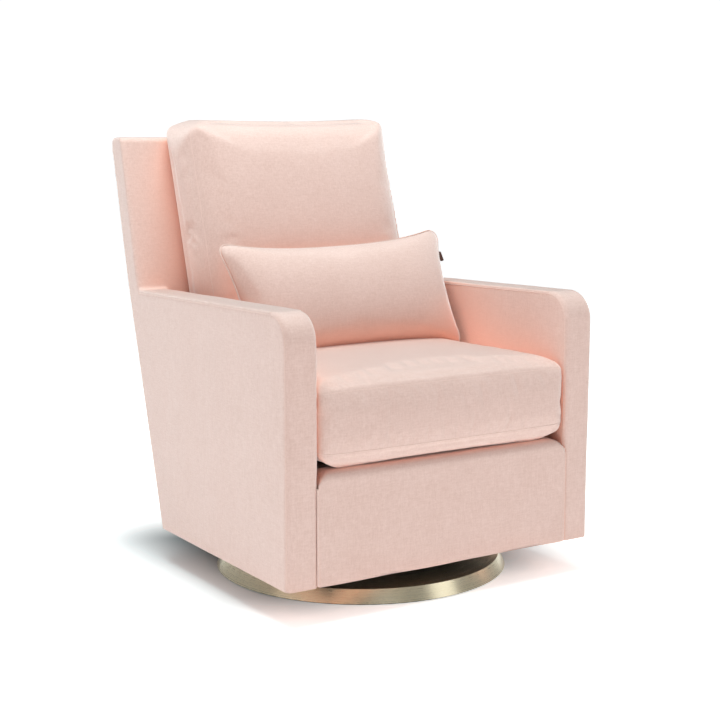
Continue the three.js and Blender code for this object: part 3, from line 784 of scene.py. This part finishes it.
def back_cushion():
    half = CUSHION_HALF
    z0, z1 = CUSHION_LOW.z, CUSHION_HIGH.z
    y0 = CUSHION_LOW.y + 0.012
    y1 = back_front_y(z0) - 0.003
    face = rounded([(-half, z0, 0.035), (half, z0, 0.035), (half, z1, 0.030), (-half, z1, 0.052)], 8)
    across = prism(face, "y", y0 - OVERRUN, y1 + OVERRUN)
    along = prism(rounded([(y0, z0, 0.03), (y1, z0, 0.02), (y1, z1, 0.035), (y0, z1, 0.040)]),
                  "x", -half - OVERRUN, half + OVERRUN)
    plan = prism(rectangle(-half, half, y0, y1, 0.060, 0.045), "z", z0 - OVERRUN, z1 + OVERRUN)
    cushion = remeshed(crossed("back_cushion_cover", across, along, plan), CUSHION_VOXEL, 4)
    points = points_of(cushion)
    u = points[:, 0] / half
    w = 2 * (points[:, 2] - z0) / (z1 - z0) - 1
    depth = np.clip((y1 - points[:, 1]) / (y1 - y0), 0, 1)
    bulge = (1 - np.abs(u) ** 2.4) * (1 - np.abs(w) ** 2.4)
    points[:, 1] -= 0.016 * depth ** 2 * np.clip(bulge, 0, 1)
    top = np.clip((w + 1) / 2, 0, 1) ** 3
    points[:, 2] += top * (0.004 * np.clip(u, 0, 1) ** 2 + 0.004 * u ** 2 - 0.004)
    points[:, 0] *= 1 - 0.006 * (1 - w ** 2)
    points[:, 0] += CUSHION_CENTRE_X
    set_points(cushion, points)
    inflated(cushion, CUSHION_PRESSURE, CUSHION_CAP, np.zeros(len(points)))
    refined(cushion)
    set_points(cushion, leaning(points_of(cushion)))
    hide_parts("back_cushion")
    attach(dress(cushion, BLUSH), "back_cushion")
    for name, y, depth, proud in (("front", y0 + 0.022, 0.0003, -0.0006),
                                  ("rear", y1 - 0.020, 0.0006, -0.0002)):
        line = np.array([(x + CUSHION_CENTRE_X, y, z) for x, z in face])
        line = leaning(evenly(line, closed=True))
        seam(f"back_cushion_seam_{name}", line, cushion, "back_cushion", depth=depth, closed=True,
             proud=proud)


def with_round_corners(u, v):
    """Where a place on a square of half size 1 goes when the pillow's corners are rounded."""
    size = (PILLOW_CORNER_R / PILLOW_HALF_WIDTH, PILLOW_CORNER_R / PILLOW_HALF_HEIGHT)
    a, b = [max(0.0, (abs(value) - 1 + part) / part) for value, part in zip((u, v), size)]
    if a == 0 or b == 0:
        return u, v
    across = 1 - size[0] + size[0] * a * math.sqrt(1 - b * b / 2)
    up = 1 - size[1] + size[1] * b * math.sqrt(1 - a * a / 2)
    return math.copysign(across, u), math.copysign(up, v)


def pillow_sheets(columns=96, rows=50):
    """Two sheets that share their rim, swelling from it, with drawn-in sides and pointed corners."""
    made = bmesh.new()
    sheets = []
    rim = {}
    for face in (-1, 1):
        grid = []
        for j in range(rows + 1):
            row = []
            for i in range(columns + 1):
                on_rim = i in (0, columns) or j in (0, rows)
                if on_rim and (i, j) in rim:
                    row.append(rim[i, j])
                    continue
                u, v = 2 * i / columns - 1, 2 * j / rows - 1
                across, up = with_round_corners(u, v)
                x = PILLOW_HALF_WIDTH * across * (1 + 0.03 * up - 0.07 * (1 - up * up) * abs(across))
                z = PILLOW_HALF_HEIGHT * up * (1 - 0.20 * (1 - abs(across) ** 2.6) * abs(up))
                swell = ((1 - u ** 4) * (1 - v ** 2)) ** 0.6
                vert = made.verts.new((x, face * PILLOW_THICK / 2 * swell, z))
                if on_rim:
                    rim[i, j] = vert
                row.append(vert)
            grid.append(row)
        sheets.append(grid)
    for grid in sheets:
        for j in range(rows):
            for i in range(columns):
                made.faces.new((grid[j][i], grid[j][i + 1], grid[j + 1][i + 1], grid[j + 1][i]))
    bmesh.ops.recalc_face_normals(made, faces=made.faces)
    around = ([(i, 0) for i in range(columns)] + [(columns, j) for j in range(rows)]
              + [(i, rows) for i in range(columns, 0, -1)] + [(0, j) for j in range(rows, 0, -1)])
    made.verts.index_update()
    return made, [rim[key].index for key in around]


def lumbar_pillow():
    made, rim = pillow_sheets()
    pillow = new_object("lumbar_pillow_cover", made)
    inflated(pillow, CUSHION_PRESSURE, PILLOW_CAP, np.zeros(len(pillow.data.vertices)))
    place = (Matrix.Translation(PILLOW_CENTRE) @ Matrix.Rotation(-PILLOW_LEAN, 4, "X")
             @ Matrix.Rotation(-PILLOW_ROLL, 4, "Y"))
    pillow.data.transform(place)
    edge = points_of(pillow)[rim]
    refined(pillow)
    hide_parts("lumbar_pillow")
    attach(dress(pillow, BLUSH), "lumbar_pillow")
    welt = tube("pillow_seam", evenly(edge, 0.005, closed=True), 0.0016, closed=True)
    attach(dress(welt, BLUSH_SEAM_PAINTED_HIGHLIGHT), "lumbar_pillow")
    return place


def pillow_tab(place):
    """A small blank tab, folded over and sewn into the pillow's side seam."""
    width, reach, thick = 0.023, 0.009, 0.0024
    outline = rounded([(0, -width / 2, 0.0005), (reach, -width / 2, 0.002), (reach, width / 2, 0.002),
                       (0, width / 2, 0.0005)], steps=3)
    tab = new_object("pillow_tab", prism(outline, "y", -thick / 2, thick / 2, 0.0006))
    at = Matrix.Translation((PILLOW_HALF_WIDTH * 0.955, 0, PILLOW_HALF_HEIGHT * 0.49))
    tab.data.transform(place @ at @ Matrix.Rotation(math.radians(-6), 4, "Y"))
    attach(dress(tab, TAB_LEATHER), "lumbar_pillow")


# ---------- under the cushions and under the body ----------
def seat_platform():
    """The padded platform that the seat cushion lies on, stitched in channels from side to side."""
    low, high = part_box("seat_deck")
    top = SEAT_BOTTOM_Z - 0.004
    half = SEAT_HALF - 0.001
    across = prism(rectangle(-half, half, low.z, top, 0.002, 0.008), "y", low.y - OVERRUN, high.y + OVERRUN)
    along = prism(rectangle(low.y, high.y, low.z, top, 0.002, 0.008), "x", -half - OVERRUN, half + OVERRUN)
    pad = remeshed(crossed("seat_platform", across, along), VOXEL, 1)
    points = points_of(pad)
    channels = np.abs(np.sin((points[:, 1] - low.y) / (high.y - low.y) * math.pi * PLATFORM_CHANNELS))
    upper = np.clip((points[:, 2] - low.z) / (top - low.z), 0, 1)
    points[:, 2] -= 0.004 * upper * (1 - channels) ** 3
    set_points(pad, tapered(points))
    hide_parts("seat_deck")
    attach(dress(pad, DECK_CLOTH), "chair")


def dust_cover():
    """Cloth stapled over the open underside, with a cut-out where the mechanism swings."""
    low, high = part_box("dust_cover")
    cell = 0.0104
    columns, rows = round((high.x - low.x) / cell), round((high.y - low.y) / cell)
    made = bmesh.new()
    xs, ys = np.linspace(low.x, high.x, columns + 1), np.linspace(low.y, high.y, rows + 1)
    verts = [[made.verts.new((x, y, high.z)) for x in xs] for y in ys]
    for j in range(rows):
        for i in range(columns):
            x, y = (xs[i] + xs[i + 1]) / 2, (ys[j] + ys[j + 1]) / 2
            if abs(x) > CUTOUT_HALF_X or abs(y) > CUTOUT_HALF_Y:
                made.faces.new((verts[j][i], verts[j][i + 1], verts[j + 1][i + 1], verts[j + 1][i]))
    for vert in [v for v in made.verts if not v.link_faces]:
        made.verts.remove(vert)
    area = sum(face.calc_area() for face in made.faces)
    cloth = new_object("dust_cloth", made)
    points = points_of(cloth)
    points[:, 2] -= 0.0006 + 0.0005 * unevenness(points, 0.09, seed=21)
    set_points(cloth, points)
    thickness = cloth.modifiers.new("thickness", "SOLIDIFY")
    thickness.thickness = 0.0007
    thickness.offset = 0
    baked(cloth)
    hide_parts("dust_cover")
    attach(dress(cloth, DUST_CLOTH), "chair")
    staples = bmesh.new()
    long, thin = 0.005, 0.0005         # half sizes of a staple
    for count, along, fixed, turned in ((16, xs, low.y, False), (16, xs, high.y, False),
                                        (14, ys, low.x, True), (14, ys, high.x, True)):
        inward = 0.008 if fixed < 0 else -0.008
        for k in range(count):
            at = along[0] + (along[-1] - along[0]) * (k + 0.5) / count
            size = (thin, long, thin) if turned else (long, thin, thin)
            centre = (fixed + inward, at, low.z) if turned else (at, fixed + inward, low.z)
            wire = bmesh.ops.create_cube(staples, size=2)["verts"]
            bmesh.ops.scale(staples, vec=size, verts=wire)
            bmesh.ops.translate(staples, vec=centre, verts=wire)
    bmesh.ops.bevel(staples, geom=staples.edges[:], offset=0.0003, segments=2, affect="EDGES")
    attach(dress(new_object("dust_cover_staples", staples), ZINC_STEEL), "chair")


# ---------- everything in place ----------
body_upholstery()
front_panel()
seat_cushion()
back_cushion()
pillow_tab(lumbar_pillow())
seat_platform()
dust_cover()


# ---------- carried-over CAD nodes ----------
FINISHES = {
    "base_cover": GOLD, "base_weight_plate": BLACK_STEEL, "floor_pad": RUBBER, "swivel_plate": BLACK_STEEL,
    "glide_stand": BLACK_STEEL, "hanger_rail": BLACK_STEEL, "cross_tie": BLACK_STEEL,
    "stop_bumper": RUBBER, "seat_spring": SPRING_STEEL, "side_panel": PLYWOOD, "seat_rail": HARDWOOD,
    "front_rail": HARDWOOD, "rear_rail": HARDWOOD, "front_apron_rail": HARDWOOD,
    "back_top_rail": HARDWOOD, "back_lumbar_rail": HARDWOOD, "seat_deck": DECK_CLOTH,
    "dust_cover": DUST_CLOTH,
}
for node_name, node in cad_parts.items():
    found = [finish for start, finish in FINISHES.items() if node_name.startswith(start)]
    node.data.materials.clear()
    node.data.materials.append(found[0] if found else ZINC_STEEL)


# ---------- stage ----------
def stage_floor():
    """A wide white floor that glows, with a painted shadow under the chair: inside a box round it the floor
    has no glow and a darker, cool grey colour.
    """
    shader = Shader("floor_painted_shadow")
    grain = shader.noise(3.0, 2.0, 0.5)
    place = shader.object_space
    for operation, value in (("SUBTRACT", PAINTED_SHADOW_CENTRE), ("ABSOLUTE", (0, 0, 0)),
                             ("SUBTRACT", PAINTED_SHADOW_HALF), ("MAXIMUM", (0, 0, 0))):
        place = shader.add("ShaderNodeVectorMath", {"operation": operation}, _0=place, _1=value).outputs[0]
    away = shader.add("ShaderNodeVectorMath", {"operation": "LENGTH"}, _0=place).outputs["Value"]
    # painted shadow: the glow fades to none in the box under the chair
    glow = shader.ramp(away, 0.0, 0.28, 0.0, 0.64)
    glow = shader.math("ADD", glow, shader.ramp(away, 0.8, 2.4, 0.0, 0.10))
    white = shader.blend(grain, colour(248, 250, 250), colour(251, 253, 253))
    # painted shadow: a darker cool grey in and near that box
    near = shader.ramp(away, 0.0, 0.20)
    material = shader.surface(Base_Color=shader.blend(near, colour(150, 162, 166), white),
                              Roughness=0.9, Emission_Color=(1, 1, 1, 1), Emission_Strength=glow)
    made = bmesh.new()
    bmesh.ops.create_grid(made, x_segments=8, y_segments=8, size=60)
    floor = new_object("floor", made)
    floor.data.materials.append(material)


def area_light(name, place, aim, size, power, tint=(1.0, 1.0, 1.0)):
    data = bpy.data.lights.new(name, "AREA")
    data.shape = "DISK"
    data.size = size
    data.energy = power
    data.color = tint
    lamp = bpy.data.objects.new(name, data)
    lamp.location = place
    lamp.rotation_euler = (Vector(aim) - Vector(place)).to_track_quat("-Z", "Y").to_euler()
    bpy.context.scene.collection.objects.link(lamp)


def studio():
    world = bpy.data.worlds.new("studio")
    bpy.context.scene.world = world
    world.use_nodes = True
    nodes, links = world.node_tree.nodes, world.node_tree.links
    sky = nodes["Background"]
    sky.inputs[0].default_value = (1, 1, 1, 1)
    sky.inputs[1].default_value = SKY_LIGHT
    backdrop = nodes.new("ShaderNodeBackground")
    backdrop.inputs[0].default_value = (1, 1, 1, 1)
    backdrop.inputs[1].default_value = BACKDROP_LIGHT
    seen = nodes.new("ShaderNodeLightPath")
    either = nodes.new("ShaderNodeMixShader")
    links.new(seen.outputs["Is Camera Ray"], either.inputs[0])
    links.new(sky.outputs[0], either.inputs[1])
    links.new(backdrop.outputs[0], either.inputs[2])
    links.new(either.outputs[0], nodes["World Output"].inputs[0])
    area_light("key", (2.0, -2.6, 1.9), AIM, 1.5, 8)
    area_light("top", (-0.3, 0.1, 3.4), AIM, 2.0, 104, (0.88, 1.0, 1.01))
    area_light("front", (-0.8, -3.6, 1.0), (0, 0, 0.3), 1.8, 4)
    area_light("fill", (-3.2, -0.4, 1.8), AIM, 2.6, 6, (1.0, 0.91, 0.88))
    bpy.context.scene.view_settings.view_transform = "Standard"


def camera():
    data = bpy.data.cameras.new("camera")
    data.sensor_width = 36
    data.lens = CAMERA_LENS
    obj = bpy.data.objects.new("camera", data)
    obj.location = CAMERA_PLACE
    obj.rotation_euler = (math.radians(CAMERA_PITCH), 0, math.radians(CAMERA_YAW))
    bpy.context.scene.collection.objects.link(obj)
    bpy.context.scene.camera = obj


stage_floor()
studio()
camera()
